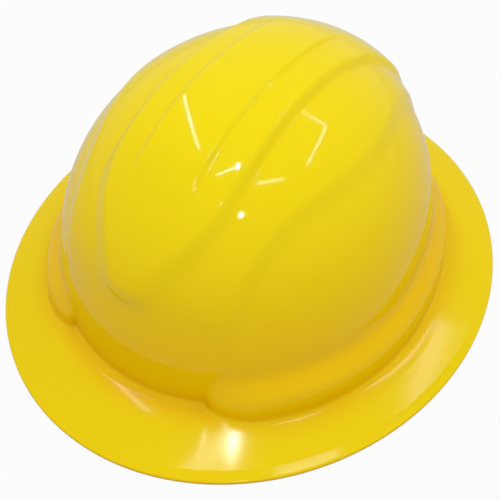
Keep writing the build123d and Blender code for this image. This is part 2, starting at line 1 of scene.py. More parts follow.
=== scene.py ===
# %% [markdown]
# # A full brim hard hat
#
# A hard hat of this kind is one glossy plastic shell over a webbing suspension.
# The shell is injection moulded in a polished steel mould, so its skin is smooth and bright.
# Under it, two woven straps cross over the head and hang from four plastic keys,
# and a padded headband with a swinging nape band and a ratchet holds the head.
#
# This file builds the looks around the engineering model of the same hat.
# Hard moulded pieces keep their engineering shape and get a real finish here.
# The shell, the straps, the patch and the pads are built again in mesh code, because
# their looks depend on soft transitions, woven threads and padding.

import math

import bpy
import numpy as np
from mathutils import Matrix, Vector

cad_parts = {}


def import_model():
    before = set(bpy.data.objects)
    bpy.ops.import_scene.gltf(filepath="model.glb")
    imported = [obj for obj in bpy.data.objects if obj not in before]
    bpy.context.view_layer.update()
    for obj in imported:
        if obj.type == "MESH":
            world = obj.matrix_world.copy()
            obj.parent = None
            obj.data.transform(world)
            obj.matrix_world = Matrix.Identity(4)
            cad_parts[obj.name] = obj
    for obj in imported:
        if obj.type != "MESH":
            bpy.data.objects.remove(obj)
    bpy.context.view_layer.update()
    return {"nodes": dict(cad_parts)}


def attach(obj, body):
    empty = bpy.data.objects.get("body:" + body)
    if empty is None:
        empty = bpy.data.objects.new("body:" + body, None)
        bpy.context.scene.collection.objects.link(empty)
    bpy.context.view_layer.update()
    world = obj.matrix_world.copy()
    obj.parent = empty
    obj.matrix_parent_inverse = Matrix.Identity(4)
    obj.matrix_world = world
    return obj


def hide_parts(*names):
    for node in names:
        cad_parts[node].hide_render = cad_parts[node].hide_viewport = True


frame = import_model()
nodes = frame["nodes"]
print("nodes in the model:", len(nodes))

# %% [markdown]
# ## Units, colours and nodes
#
# Everything below is worked out in millimetres, because that is how a maker reads a drawing.
# Blender works in metres, so each mesh is scaled once, when it is made.
# Colours are written as the sRGB hex values that a colour picker shows.
# A shader needs linear values, so one function turns them.
# Shaders are written node by node, so one small function adds a node and links it.

# %% Units and colours
MM = 0.001
scene = bpy.context.scene


def linear(hex_colour):
    """The linear colour of an sRGB hex value, with full opacity."""
    channels = [int(hex_colour[i : i + 2], 16) / 255 for i in (1, 3, 5)]
    bent = [c / 12.92 if c <= 0.04045 else ((c + 0.055) / 1.055) ** 2.4 for c in channels]
    return (*bent, 1.0)


def add(tree, kind, values=None, links=None, **settings):
    """Adds a node with its settings, socket values and links; a source may be a node or a
    socket, and a node stands for its first output."""
    node = tree.nodes.new(kind)
    for name, value in settings.items():
        setattr(node, name, value)
    for socket, value in (values or {}).items():
        node.inputs[socket].default_value = value
    for socket, source in (links or {}).items():
        source = source.outputs[0] if isinstance(source, bpy.types.Node) else source
        tree.links.new(source, node.inputs[socket])
    return node


def set_stops(ramp, *stops):
    """Sets a colour ramp's stops: the share of the way along it, and an sRGB hex colour."""
    for share, colour in stops[1:-1]:
        ramp.color_ramp.elements.new(share)
    for element, (share, colour) in zip(ramp.color_ramp.elements, stops):
        element.position, element.color = share, linear(colour)


def finish_surface(tree, colour, height, bump, gloss, roughness, values, invert=False):
    """The end of a material: a bump (strength, depth in mm), a range of roughness, a shader."""
    strength, depth_mm = bump
    normal = add(
        tree, "ShaderNodeBump", {"Strength": strength, "Distance": depth_mm * MM},
        {"Height": height}, invert=invert,
    )
    rough = add(
        tree, "ShaderNodeMapRange", {"To Min": roughness[0], "To Max": roughness[1]},
        {"Value": gloss},
    )
    face = add(
        tree, "ShaderNodeBsdfPrincipled", values,
        {"Base Color": colour, "Roughness": rough, "Normal": normal},
    )
    add(tree, "ShaderNodeOutputMaterial", links={"Surface": face})


def empty_material(name):
    """A material with an empty node tree."""
    material = bpy.data.materials.new(name)
    material.use_nodes = True
    material.node_tree.nodes.clear()
    return material, material.node_tree


def new_piece(name, points_mm, faces, material, smooth=False):
    """An object in the scene from points in mm and faces of point numbers."""
    mesh = bpy.data.meshes.new(name)
    mesh.from_pydata((np.asarray(points_mm, float) * MM).tolist(), [], faces)
    mesh.materials.append(material)
    if smooth:
        mesh.shade_smooth()
    piece = bpy.data.objects.new(name, mesh)
    scene.collection.objects.link(piece)
    return piece


print("a mid yellow in linear values:", [round(c, 3) for c in linear("#EFDC1C")[:3]])

# %% [markdown]
# ## The camera
#
# The photograph looks down on the brow from the wearer's left front.
# The camera's place was found by fitting the outline of brim and crown:
# 33 degrees round from the brow and 49 degrees up, quite near the hat,
# which is why the near side of the brim looks larger than the far side.

# %% Camera
camera_azimuth = math.radians(32.67)
camera_elevation = math.radians(48.63)
camera_roll = math.radians(0.75)
camera_distance = 470.6
camera_aim = (-4.12, -2.96)
lens_mm = 53.41

back = Vector((
    math.sin(camera_azimuth) * math.cos(camera_elevation),
    -math.cos(camera_azimuth) * math.cos(camera_elevation),
    math.sin(camera_elevation),
))
level_right = Vector((math.cos(camera_azimuth), math.sin(camera_azimuth), 0))
level_up = back.cross(level_right)
camera_right = level_right * math.cos(camera_roll) + level_up * math.sin(camera_roll)
camera_up = back.cross(camera_right)
place = (camera_right * camera_aim[0] + camera_up * camera_aim[1] + back * camera_distance) * MM

camera_data = bpy.data.cameras.new("camera")
camera_data.lens = lens_mm
camera_data.sensor_width = 36.0
camera_data.clip_start = 0.01
camera = bpy.data.objects.new("camera", camera_data)
scene.collection.objects.link(camera)
turn = Matrix((camera_right, camera_up, back)).transposed().to_4x4()
camera.matrix_world = Matrix.Translation(place) @ turn
scene.camera = camera
print("camera stands at", [round(c, 3) for c in place])

# %% [markdown]
# ## Floor and light
#
# The hat stands on a plain white sweep in an evenly lit room, so its shading is soft.
# The room is like a light tent, its walls a little brighter than its roof, with no edge
# anywhere, because a polished shell would show the edge of every large lamp.
# To the eye the room and the floor are white, while the light on the hat stays plain:
# the Light Path node tells which rays go to the camera and which light the hat.

# %% Floor and background
scene.view_settings.view_transform = "Standard"
wall_light, roof_light = 0.74, 0.56
floor_white_share, mirrored_white_share = 0.94, 0.15

world = bpy.data.worlds.new("evenly_lit_room")
scene.world = world
world.use_nodes = True
world.node_tree.nodes.clear()
room = world.node_tree
room_side = add(room, "ShaderNodeTexCoord").outputs["Generated"]
direction = add(room, "ShaderNodeSeparateXYZ", links={0: room_side})
wall_to_roof = add(
    room, "ShaderNodeMapRange", {"To Min": wall_light, "To Max": roof_light},
    {"Value": direction.outputs["Z"]},
)
room_light = add(
    room, "ShaderNodeBackground", {"Color": linear("#FBFBFC")}, {"Strength": wall_to_roof}
)
white_room = add(room, "ShaderNodeBackground", {"Color": linear("#FFFFFF"), "Strength": 1.0})
room_path = add(room, "ShaderNodeLightPath").outputs
room_seen = add(
    room, "ShaderNodeMath", operation="MAXIMUM",
    links={0: room_path["Is Camera Ray"], 1: room_path["Is Transmission Ray"]},
)
room_mix = add(room, "ShaderNodeMixShader", links={0: room_seen, 1: room_light, 2: white_room})
add(room, "ShaderNodeOutputWorld", links={"Surface": room_mix})

paper, tree = empty_material("white_studio_paper")
path = add(tree, "ShaderNodeLightPath").outputs
paper_fibre = add(
    tree, "ShaderNodeTexNoise", {"Scale": 1 / (3 * MM), "Detail": 3.0},
    {"Vector": add(tree, "ShaderNodeTexCoord").outputs["Object"]},
)
paper_tone = add(tree, "ShaderNodeValToRGB", links={"Fac": paper_fibre})
set_stops(paper_tone, (0, "#C4C4C4"), (1, "#CACACA"))
paper_face = add(tree, "ShaderNodeBsdfDiffuse", links={"Color": paper_tone})
paper_glow = add(tree, "ShaderNodeEmission", {"Color": linear("#FFFFFF"), "Strength": 1.0})
# Reflections see only a little of the white, or the polished shell looks hazy at its edges.
seen = add(
    tree, "ShaderNodeMath", operation="MAXIMUM",
    links={0: path["Is Camera Ray"], 1: path["Is Transmission Ray"]},
)
mirrored = add(
    tree, "ShaderNodeMath", {1: mirrored_white_share}, {0: path["Is Glossy Ray"]}, operation="MULTIPLY"
)
either = add(tree, "ShaderNodeMath", operation="MAXIMUM", links={0: seen, 1: mirrored})
paper_share = add(tree, "ShaderNodeMath", {1: floor_white_share}, {0: either}, operation="MULTIPLY")
paper_mix = add(tree, "ShaderNodeMixShader", links={0: paper_share, 1: paper_face, 2: paper_glow})
add(tree, "ShaderNodeOutputMaterial", links={"Surface": paper_mix})

reach = 6000.0
floor_corners = [(-reach, -reach, 0), (reach, -reach, 0), (reach, reach, 0), (-reach, reach, 0)]
floor = new_piece("floor", floor_corners, [(0, 1, 2, 3)], paper)
print("floor laid at height", floor.location.z)

# %% [markdown]
# What tells the eye that the plastic is polished are narrow bright lines and small spots:
# they are the images of thin ceiling strips and two small lamps, mirrored in the crown.
# Their places on the ceiling were found by following the view ray through each bright
# line and reflecting it on the crown.

# %% Lamps
ceiling = 1.4
strip_width, strip_radiance = 0.014, 66.0
# Start and end of each strip, in metres across and along the room
strips = {
    "strip_left": ((-1.21, 0.53), (-0.39, -0.25)),
    "strip_brow": ((-0.03, -0.47), (0.13, -0.23)),
    "strip_right": ((0.5, -0.27), (0.75, 0.0)),
    "strip_far_right": ((0.87, 0.39), (0.62, 1.19)),
    "strip_far": ((0.62, 1.19), (0.23, 1.01)),
}
# The short overhead strip is one of the spots on the crown and the glare on the brim.
overhead_strip, overhead_width, overhead_radiance = ((0.115, -0.19), (0.165, -0.26)), 0.03, 260.0
spot_place, spot_width, spot_radiance = (0.65, -0.84), 0.08, 110
crown_middle = (0.0, 0.0, 0.08)


def lamp(name, place_m, aim_m, size_m, radiance):
    """A rectangular lamp facing a point; radiance 1 looks white, so watts follow from area."""
    data = bpy.data.lights.new(name, "AREA")
    data.shape = "RECTANGLE"
    data.size, data.size_y = size_m
    data.energy = math.pi * size_m[0] * size_m[1] * radiance
    lamp_object = bpy.data.objects.new(name, data)
    scene.collection.objects.link(lamp_object)
    lamp_object.location = place_m
    facing = Vector(place_m) - Vector(aim_m)
    lamp_object.rotation_mode = "QUATERNION"
    lamp_object.rotation_quaternion = facing.to_track_quat("Z", "Y")
    return lamp_object


def ceiling_strip(name, start, end, width, radiance):
    """A thin lamp on the ceiling between two points, in metres across and along the room."""
    run = Vector(end) - Vector(start)
    middle = (Vector(start) + Vector(end)) / 2
    place = (*middle, ceiling)
    strip = lamp(name, place, (*middle, 0), (run.length, width), radiance)
    strip.rotation_quaternion = Matrix.Rotation(math.atan2(run.y, run.x), 3, "Z").to_quaternion()
    return strip


for name, (start, end) in strips.items():
    ceiling_strip(name, start, end, strip_width, strip_radiance)
lamp("spot_brow", (*spot_place, ceiling), crown_middle, (spot_width, spot_width), spot_radiance)
ceiling_strip("spot_overhead", *overhead_strip, overhead_width, overhead_radiance)
print("lamps:", [*strips, "spot_brow", "spot_overhead"])

# %% [markdown]
# ## The shell's plastic
#
# The shell is high density polyethylene, injection moulded in a polished mould.
# The pigment goes right through it, so worn edges keep the same yellow.
# Light enters the plastic a little way and comes back warmer: a little subsurface
# scattering gives that, and painted shade, below, gives most of the gold in shaded parts.
# The gloss is high, with a very slight waviness from shrinking in the mould.
# Between crown and brim the light bounces from wall to wall, which deepens the yellow
# to gold; this is painted into the colour as painted shade, from gold at the foot to lemon
# at the top of the crown, with darker gold painted into every hollow.

# %% Glossy moulded polyethylene
shell_plastic, tree = empty_material("glossy_moulded_polyethylene")
hat_height = 143.0
spots = add(tree, "ShaderNodeTexCoord").outputs["Object"]
cloudiness = add(tree, "ShaderNodeTexNoise", {"Scale": 1 / (60 * MM), "Detail": 2.0}, {"Vector": spots})
height = add(tree, "ShaderNodeSeparateXYZ", links={0: spots})
painted_shade_height = add(
    tree, "ShaderNodeMapRange", {"From Max": hat_height * MM}, {"Value": height.outputs["Z"]}
)
clouding_and_painted_shade = add(
    tree, "ShaderNodeMath", {1: 0.04}, {0: cloudiness, 2: painted_shade_height}, operation="MULTIPLY_ADD"
)
pigment_and_painted_shade = add(tree, "ShaderNodeValToRGB", links={"Fac": clouding_and_painted_shade})
# Painted shade by height: each step is a share of the hat's height, from the rim to the top
# of the crown, gold low down and lemon at the top; only the faint clouding is the plastic's own.
set_stops(
    pigment_and_painted_shade, (0.0, "#F0D204"), (0.09, "#F0D204"), (0.13, "#F2C602"), (0.28, "#F3C502"),
    (0.5, "#F4CC03"), (0.72, "#F5D605"), (1.0, "#F4DC08"),
)
shrink_waves = add(
    tree, "ShaderNodeTexNoise", {"Scale": 1 / (9 * MM), "Detail": 1.0}, {"Vector": spots}
)
waviness = add(
    tree, "ShaderNodeBump", {"Strength": 0.25, "Distance": 0.03 * MM}, {"Height": shrink_waves}
)
handling = add(tree, "ShaderNodeTexNoise", {"Scale": 1 / (25 * MM), "Detail": 5.0}, {"Vector": spots})
gloss = add(tree, "ShaderNodeMapRange", {"To Min": 0.04, "To Max": 0.09}, {"Value": handling})
# Painted shade for light that bounces once more in every hollow: ambient occlusion
# multiplies the colour towards gold there, which makes the panel edges read as golden lines.
hollow_occlusion = add(tree, "ShaderNodeAmbientOcclusion", {"Distance": 15 * MM}, samples=8)
painted_hollow_shade_share = add(
    tree, "ShaderNodeMapRange", {"From Min": 0.5, "From Max": 0.97, "To Min": 0.8, "To Max": 0.0},
    {"Value": hollow_occlusion.outputs["AO"]},
)
colour_with_painted_shade = add(
    tree, "ShaderNodeMix", {"B": linear("#EFC050")}, {"Factor": painted_hollow_shade_share, "A": pigment_and_painted_shade},
    data_type="RGBA", blend_type="MULTIPLY",
)
# The brim is what hands and shelves touch, so its polish is worn to a soft sheen.
worn_share = add(
    tree, "ShaderNodeMapRange",
    {"From Min": 10 * MM, "From Max": 20 * MM, "To Min": 1.0, "To Max": 0.0},
    {"Value": height.outputs["Z"]},
)
polish = add(tree, "ShaderNodeMix", {"B": 0.12}, {"Factor": worn_share, "A": gloss}, data_type="FLOAT")
plastic = add(
    tree, "ShaderNodeBsdfPrincipled",
    {
        "IOR": 1.5, "Specular IOR Level": 0.14, "Subsurface Weight": 0.08,
        "Subsurface Radius": (1.0, 0.55, 0.05), "Subsurface Scale": 2.5 * MM,
    },
    {"Base Color": colour_with_painted_shade.outputs["Result"], "Roughness": polish, "Normal": waviness},
)
add(tree, "ShaderNodeOutputMaterial", links={"Surface": plastic})
print("made", shell_plastic.name)

# %% [markdown]
# ## The shell's outer surface
#
# The crown is a little squarer than an ellipsoid, longer behind its widest section than
# before it. Mould makers describe such a crown with an exponent: 2 is a true ellipse and
# a larger number is squarer. Raised panels run over it from brow to nape: two wide side
# panels with soft edges, a centre panel whose nose narrows above the brow, and a narrow
# strip on top of that. Each is a small height added along the crown's own normal.
#
# A dense grid of points is a good way to make it, because gloss shows every dent: rows
# run from the top of the crown to the rim, and columns run round the hat.

# %% Crown
brim_half_length, brim_half_width = 165.0, 143.4
crown_half_width = 104.0
crown_front, crown_rear = 114.5, 134.6
crown_widest_y = -12.0
crown_foot, crown_rise = 12.0, 124.4
crown_squareness = 2.226
wall = 2.6

columns = 480
around = np.linspace(0, 2 * np.pi, columns, endpoint=False)


def crown_point(turn, climb):
    """Points on the plain crown: turn runs round from the brow, climb from foot to top."""
    in_plan = np.maximum(np.cos(climb), 0) ** (2 / crown_squareness)
    upward = np.maximum(np.sin(climb), 0) ** (2 / crown_squareness)
    length = np.where(np.cos(turn) > 0, crown_front, crown_rear)
    x = crown_half_width * np.sin(turn) * in_plan
    y = crown_widest_y - length * np.cos(turn) * in_plan
    z = crown_foot + crown_rise * upward + 0 * x
    return np.stack([x, y, z], -1)


def soft_step(value, low, high):
    """0 below low, 1 above high, and a smooth rise between them."""
    share = np.clip((value - low) / (high - low), 0, 1)
    return share * share * (3 - 2 * share)


def smooth_table(value, table):
    """A smooth curve through a table of (value, result) pairs."""
    known, result = np.array(table, float).T
    slope = np.gradient(result, known)
    value = np.clip(value, known[0], known[-1])
    step = np.clip(np.searchsorted(known, value) - 1, 0, len(known) - 2)
    width = known[step + 1] - known[step]
    s = (value - known[step]) / width
    return (
        (1 + 2 * s) * (1 - s) ** 2 * result[step]
        + s * (1 - s) ** 2 * width * slope[step]
        + s * s * (3 - 2 * s) * result[step + 1]
        + s * s * (s - 1) * width * slope[step + 1]
    )


print("crown rises", crown_rise, "mm over its foot")

# %% [markdown]
# ## Raised panels
#
# The panels are described by where their edges lie. The angle runs over the crown from
# 0 at the brow to 180 at the nape, and each table gives half the panel's width there.

# %% Raised panels
side_panel_rise, centre_panel_rise, strip_rise = 2.2, 3.1, 1.4
side_panel_edge = (
    (15, 50), (26, 50), (37, 51), (60, 56), (75, 64), (90, 68), (105, 66), (120, 60), (135, 56),
    (150, 53), (165, 51),
)
centre_panel_edge = (
    (20, 4), (28, 7.5), (33, 11), (39, 16), (45, 22.3), (50, 27), (56, 30.2), (64, 31), (90, 31),
    (105, 31), (114, 32), (121, 32.5), (126, 33.5), (131, 35.5), (137, 38), (145, 40), (158, 41),
)
side_edge_width = 10.0
centre_edge_width = ((20, 18), (36, 16), (48, 12), (60, 7.5), (90, 6), (120, 7), (150, 10))
# An edge reaches this share of its width into the panel and the rest beyond it.
inner_edge_share = 0.35
strip_half_width, strip_edge_width = 15.5, 3.0
# Angles over which each panel rises out of the crown, and over which it sinks back
side_panel_ends = ((22, 38), (140, 158))
centre_panel_ends = ((26.5, 33.5), (138, 156))
strip_ends = ((52, 64), (112, 126))


def along_panel(angle, ends):
    """1 along a panel, fading to 0 over the angles where it starts and ends."""
    start, end = ends
    return soft_step(angle, *start) * (1 - soft_step(angle, *end))


def panel_height(point):
    """Height of the raised panels over the plain crown at points on it."""
    across = np.abs(point[..., 0])
    angle = np.degrees(
        np.arctan2(point[..., 2] - crown_foot, -(point[..., 1] - crown_widest_y))
    )
    half = side_edge_width / 2
    side_half = smooth_table(angle, side_panel_edge)
    side = 1 - soft_step(across, side_half - half, side_half + half)
    width = smooth_table(angle, centre_edge_width)
    inner_end = smooth_table(angle, centre_panel_edge) - inner_edge_share * width
    centre = 1 - soft_step(across, inner_end, inner_end + width)
    half = strip_edge_width / 2
    strip = 1 - soft_step(across, strip_half_width - half, strip_half_width + half)
    return (
        side_panel_rise * side * along_panel(angle, side_panel_ends)
        + centre_panel_rise * centre * along_panel(angle, centre_panel_ends)
        + strip_rise * strip * along_panel(angle, strip_ends)
    )


crown_top = crown_foot + crown_rise + side_panel_rise + centre_panel_rise + strip_rise
print("the top of the crown stands", round(crown_top, 1), "mm over the floor")

# %% [markdown]
# ## Side bosses, brim and rim
#
# Where crown and brim meet, a low boss stands out along each side. It stiffens the shell
# and leaves room for the suspension inside. Front and back have a plain hollow fillet
# instead. Both are drawn as a short profile of control points from the crown wall down to
# the brim, and the profile changes smoothly from one to the other round the hat.
# A quadratic B-spline through the control points gives the soft moulded transitions.

# %% Skirt profile
skirt_top = 42.0
# Each pair is the distance out from the crown's foot and the height over the floor.
plain_profile = ((-1.45, 37.5), (-1, 31), (-0.7, 25), (-0.2, 19), (0.3, 12.9), (9, 11.4), (16, 9.85))
boss_profile = ((-1, 35.5), (4, 32.2), (8.2, 28), (9.8, 21), (10.2, 12.6), (11.4, 10.6), (19, 8.8))
low_boss_profile = (
    (-1.4, 31), (-1.2, 23), (1.8, 18.5), (6, 15.4), (8.2, 11.8), (10.4, 10.4), (18, 8.9),
)
boss_first_angle, boss_last_angle = 25.0, 153.0
# A boss reaches its full width after the first of these angles, its full height after the second.
boss_end_length, boss_climb = 14.0, 30.0


def boss_rounding(turn, end_length):
    """0 away from the bosses, 1 along them, with an elliptical rise at both ends."""
    from_brow = np.degrees(np.abs((turn + np.pi) % (2 * np.pi) - np.pi))
    front = np.clip((from_brow - boss_first_angle) / end_length, 0, 1)
    rear = np.clip((boss_last_angle - from_brow) / end_length, 0, 1)
    return np.sqrt(1 - (1 - front) ** 2) * np.sqrt(1 - (1 - rear) ** 2)


def b_spline(control, share):
    """Points along a clamped quadratic B-spline: control is (..., points, values)."""
    legs = control.shape[-2] - 2
    leg = np.minimum((share * legs).astype(int), legs - 1)
    s = (share * legs - leg)[..., None]
    start, middle, end = (control[..., leg + i, :] for i in range(3))
    first = np.where(leg[:, None] == 0, start, (start + middle) / 2)
    last = np.where(leg[:, None] == legs - 1, end, (middle + end) / 2)
    return first * (1 - s) ** 2 + 2 * middle * s * (1 - s) + last * s * s


print("bosses run from", boss_first_angle, "to", boss_last_angle, "degrees from the brow")

# %% Outer surface of the shell
crown_rows, skirt_rows, brim_rows = 190, 64, 26
lip_width, lip_height, edge_height = 5.0, 4.9, 3.2
# The rows start just beside the very top, and normals come from points a nudge apart.
pole_gap, nudge = 0.004, 1e-4


def shell_outside():
    """Rows of points from the top of the crown to the edge of the brim."""
    lowest = math.asin(((skirt_top - crown_foot) / crown_rise) ** (crown_squareness / 2))
    climb = np.linspace(math.pi / 2 - pole_gap, lowest, crown_rows)
    turn_grid, climb_grid = np.meshgrid(around, climb)
    crown = crown_point(turn_grid, climb_grid)
    along = crown_point(turn_grid + nudge, climb_grid) - crown_point(turn_grid - nudge, climb_grid)
    up = crown_point(turn_grid, climb_grid) - crown_point(turn_grid, climb_grid - nudge)
    normal = np.cross(along, up)
    normal /= np.linalg.norm(normal, axis=-1, keepdims=True)
    crown = crown + normal * panel_height(crown)[..., None]

    foot = crown_point(around, 0 * around)[:, :2]
    ahead = np.roll(foot, -1, 0) - np.roll(foot, 1, 0)
    outward = np.stack([ahead[:, 1], -ahead[:, 0]], -1)
    outward /= np.linalg.norm(outward, axis=-1, keepdims=True)
    top = crown[-1, :, :2] - foot
    inset = (top * outward).sum(-1)
    drift = top - inset[:, None] * outward
    share = boss_rounding(around, boss_end_length)[:, None, None]
    plain = np.broadcast_to(np.array(plain_profile), (columns, len(plain_profile), 2))
    climbed = boss_rounding(around, boss_climb)[:, None, None]
    boss = np.array(low_boss_profile) * (1 - climbed) + np.array(boss_profile) * climbed
    start = np.stack([inset, 0 * inset + skirt_top], -1)[:, None, :]
    control = np.concatenate([start, plain + (boss - plain) * share], 1)
    # The last leg of each profile points along the brim, so that fillet and brim meet smoothly.
    edge = np.stack([brim_half_width * np.sin(around), -brim_half_length * np.cos(around)], -1)
    end = foot + control[:, -1, :1] * outward
    brim_width = np.linalg.norm(edge - end, axis=-1) - lip_width
    brim_slope = (control[:, -1, 1] - lip_height) / brim_width
    last_leg = control[:, -1, 0] - control[:, -2, 0]
    control[:, -2, 1] = control[:, -1, 1] + brim_slope * last_leg
    down = np.linspace(0, 1, skirt_rows)
    profile = b_spline(control, down)
    fade = (1 - down)[None, :, None]
    plan = foot[:, None, :] + profile[..., :1] * outward[:, None, :] + drift[:, None, :] * fade
    skirt = np.concatenate([plan, profile[..., 1:]], -1).transpose(1, 0, 2)

    root = skirt[-1]
    lip_share = brim_width / (brim_width + lip_width)
    flat = np.linspace(0, 1, brim_rows)[1:, None] * lip_share
    brim_plan = root[None, :, :2] + (edge - root[:, :2])[None] * flat[..., None]
    brim_up = root[None, :, 2] + (lip_height - root[None, :, 2]) * flat / lip_share
    brim = np.concatenate([brim_plan, brim_up[..., None]], -1)
    return np.concatenate([crown, skirt[1:], brim], 0), edge


outside, brim_edge = shell_outside()
print("outer surface has", outside.shape[0], "rows of", outside.shape[1], "points")

# %% [markdown]
# The inside follows the outside at an even wall, because an even wall cools without dents.
# Each inner point lies one wall thickness under the outer one, along the surface's normal.
# The brim ends in a narrow rim that turns straight down, and the hat rests on it.

# %% Inner surface and rim
rim_width, rim_round, rim_step = 4.0, 1.2, 1.4
inside_row_step = 2


def surface_normals(rows):
    """Outward unit normals of a grid of points that closes on itself along each row."""
    along = np.roll(rows, -1, 1) - np.roll(rows, 1, 1)
    down = np.gradient(rows, axis=0)
    normal = np.cross(down, along)
    return normal / np.linalg.norm(normal, axis=-1, keepdims=True)


def level_ring(plan, height):
    """A ring of points at one height."""
    return np.concatenate([plan, np.full((len(plan), 1), height)], 1)


def shell_rows():
    """Closed outline of the shell: outside, rim, and inside from the brim back to the top."""
    outward = brim_edge / np.linalg.norm(brim_edge, axis=-1, keepdims=True)
    upper, lower = [], []
    for angle in np.radians((0, 30, 60, 90)):
        less_sine, less_cosine = 1 - math.sin(angle), 1 - math.cos(angle)
        plan = brim_edge - outward * rim_round * less_sine
        upper.append(level_ring(plan, edge_height - rim_round * less_cosine))
        plan = brim_edge - outward * rim_round * less_cosine
        lower.append(level_ring(plan, rim_round * less_sine))
    inner_foot = brim_edge - outward * rim_width
    turn_up = [level_ring(inner_foot, height) for height in (0.0, rim_step, lip_height - wall)]
    inside = (outside - wall * surface_normals(outside))[:-3:inside_row_step]
    return np.array([*outside, *upper, *lower, *turn_up, *inside[::-1]])



def grid_object(name, rows, material):
    """A smooth piece from rows of points, closed at both ends; each row is a closed ring."""
    count, width = rows.shape[:2]
    index = np.arange(count * width).reshape(count, width)
    right = np.roll(index, -1, 1)
    faces = np.stack([index[:-1], index[1:], right[1:], right[:-1]], -1).reshape(-1, 4).tolist()
    faces += [index[0].tolist(), index[-1][::-1].tolist()]
    return new_piece(name, rows.reshape(-1, 3), faces, material, smooth=True)


shell = grid_object("hard_hat_shell", shell_rows(), shell_plastic)
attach(shell, "shell_and_headband")
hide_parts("shell")
print("shell mesh:", len(shell.data.vertices), "points")

# %% [markdown]
# ## Key sockets
#
# Inside the shell, four short pockets take the keys of the suspension.
# In the mould they are part of the shell: three thin walls and a roof that grow out of the
# crown's inner face, open at the bottom so that a key slides in from below.
# Each is cut from one block whose outer end follows the crown wall.

# %% Key sockets
strap_cross_y, strap_angle = -4.5, 36.0
key_turns = {
    "front_left": -90 + strap_angle,
    "front_right": -90 - strap_angle,
    "rear_left": 90 - strap_angle,
    "rear_right": 90 + strap_angle,
}
socket_inner, socket_half, socket_wall = 99.1, 10.1, 1.8
socket_low, socket_high = 38.5, 51.1
slot_outer = 103.5
socket_sink, slot_overrun = 0.6, 5.0


def key_frame(turn_degrees):
    """Points given as (outward, sideways, up) on the strap crossing, turned to one key."""
    turn = math.radians(turn_degrees)
    ahead = np.array([math.cos(turn), math.sin(turn), 0])
    aside = np.array([-math.sin(turn), math.cos(turn), 0])

    def world(points):
        points = np.asarray(points, float)
        flat = points[..., :1] * ahead + points[..., 1:2] * aside
        return flat + points[..., 2:] * np.array([0, 0, 1.0]) + np.array([0, strap_cross_y, 0])

    return world


def reach_to_wall(world, sideways, up):
    """Distance from the strap crossing to a surface just under the crown's outer face."""
    near, far = 60.0, 160.0
    for _ in range(40):
        middle = (near + far) / 2
        x, y, z = world([middle, sideways, up])
        length = crown_front if y < crown_widest_y else crown_rear
        plan = math.hypot(
            x / (crown_half_width - socket_sink), (y - crown_widest_y) / (length - socket_sink)
        )
        height = (z - crown_foot) / (crown_rise - socket_sink)
        if plan**crown_squareness + height**crown_squareness < 1:
            near = middle
        else:
            far = middle
    return near


def box_mesh(name, corners, material):
    """A block from eight corners in mm: four at the bottom, then the four above them."""
    faces = [(3, 2, 1, 0), (4, 5, 6, 7), (0, 1, 5, 4), (1, 2, 6, 5), (2, 3, 7, 6), (3, 0, 4, 7)]
    return new_piece(name, corners, faces, material)


def bake_modifiers(piece):
    """Turns a piece with its modifiers into plain mesh."""
    solved = piece.evaluated_get(bpy.context.evaluated_depsgraph_get())
    mesh = bpy.data.meshes.new_from_object(solved)
    piece.modifiers.clear()
    piece.data = mesh


def soften_edges(piece, width_mm):
    """Rounds sharp edges, as every moulded edge is rounded."""
    bevel = piece.modifiers.new("rounded_edges", "BEVEL")
    bevel.width = width_mm * MM
    bevel.segments = 2
    bevel.limit_method = "ANGLE"
    bevel.angle_limit = math.radians(35)
    piece.data.shade_smooth()


for place_name, turn_degrees in key_turns.items():
    world = key_frame(turn_degrees)
    corners = []
    for up in (socket_low, socket_high):
        for sideways in (-socket_half, socket_half):
            outer = reach_to_wall(world, sideways, up)
            pair = [(socket_inner, sideways, up), (outer, sideways, up)]
            corners += pair if sideways < 0 else pair[::-1]
    socket = box_mesh(f"key_socket_{place_name}", world(corners), shell_plastic)
    inner, outer = socket_inner + socket_wall, slot_outer
    side = socket_half - socket_wall
    plan = [(inner, -side), (outer, -side), (outer, side), (inner, side)]
    levels = (socket_low - slot_overrun, socket_high - socket_wall)
    slot_tool = box_mesh("slot_tool", world([(*p, z) for z in levels for p in plan]), shell_plastic)
    cut = socket.modifiers.new("slot", "BOOLEAN")
    cut.operation = "DIFFERENCE"
    cut.object = slot_tool
    bake_modifiers(socket)
    bpy.data.objects.remove(slot_tool)
    soften_edges(socket, 0.4)
    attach(socket, "shell_and_headband")
print("key sockets:", list(key_turns))

# %% [markdown]
# ## Materials of the suspension
#
# Everything inside is made cheaply and well: polyethylene for the headband and nape band,
# glass filled nylon for keys and housing, acetal for the rack, soft rubber on the knob.
# All are moulded in spark eroded moulds, which leave a fine even grain, so one function
# makes them all: a slow change of tone, a fine grain in the bump, and uneven gloss.


# %% Moulded plastics
def moulded(name, dark, light, grain_mm, grain_depth_mm, roughness, ior):
    """A grained moulded plastic: two tones, a fine bump, and a range of roughness."""
    material, tree = empty_material(name)
    spots = add(tree, "ShaderNodeTexCoord").outputs["Object"]
    slow = add(tree, "ShaderNodeTexNoise", {"Scale": 1 / (14 * MM), "Detail": 3.0}, {"Vector": spots})
    tone = add(tree, "ShaderNodeValToRGB", links={"Fac": slow})
    set_stops(tone, (0.35, dark), (0.68, light))
    grain = add(
        tree, "ShaderNodeTexNoise", {"Scale": 1 / (grain_mm * MM), "Detail": 2.0}, {"Vector": spots}
    )
    finish_surface(tree, tone, grain, (0.8, grain_depth_mm), slow, roughness, {"IOR": ior})
    return material


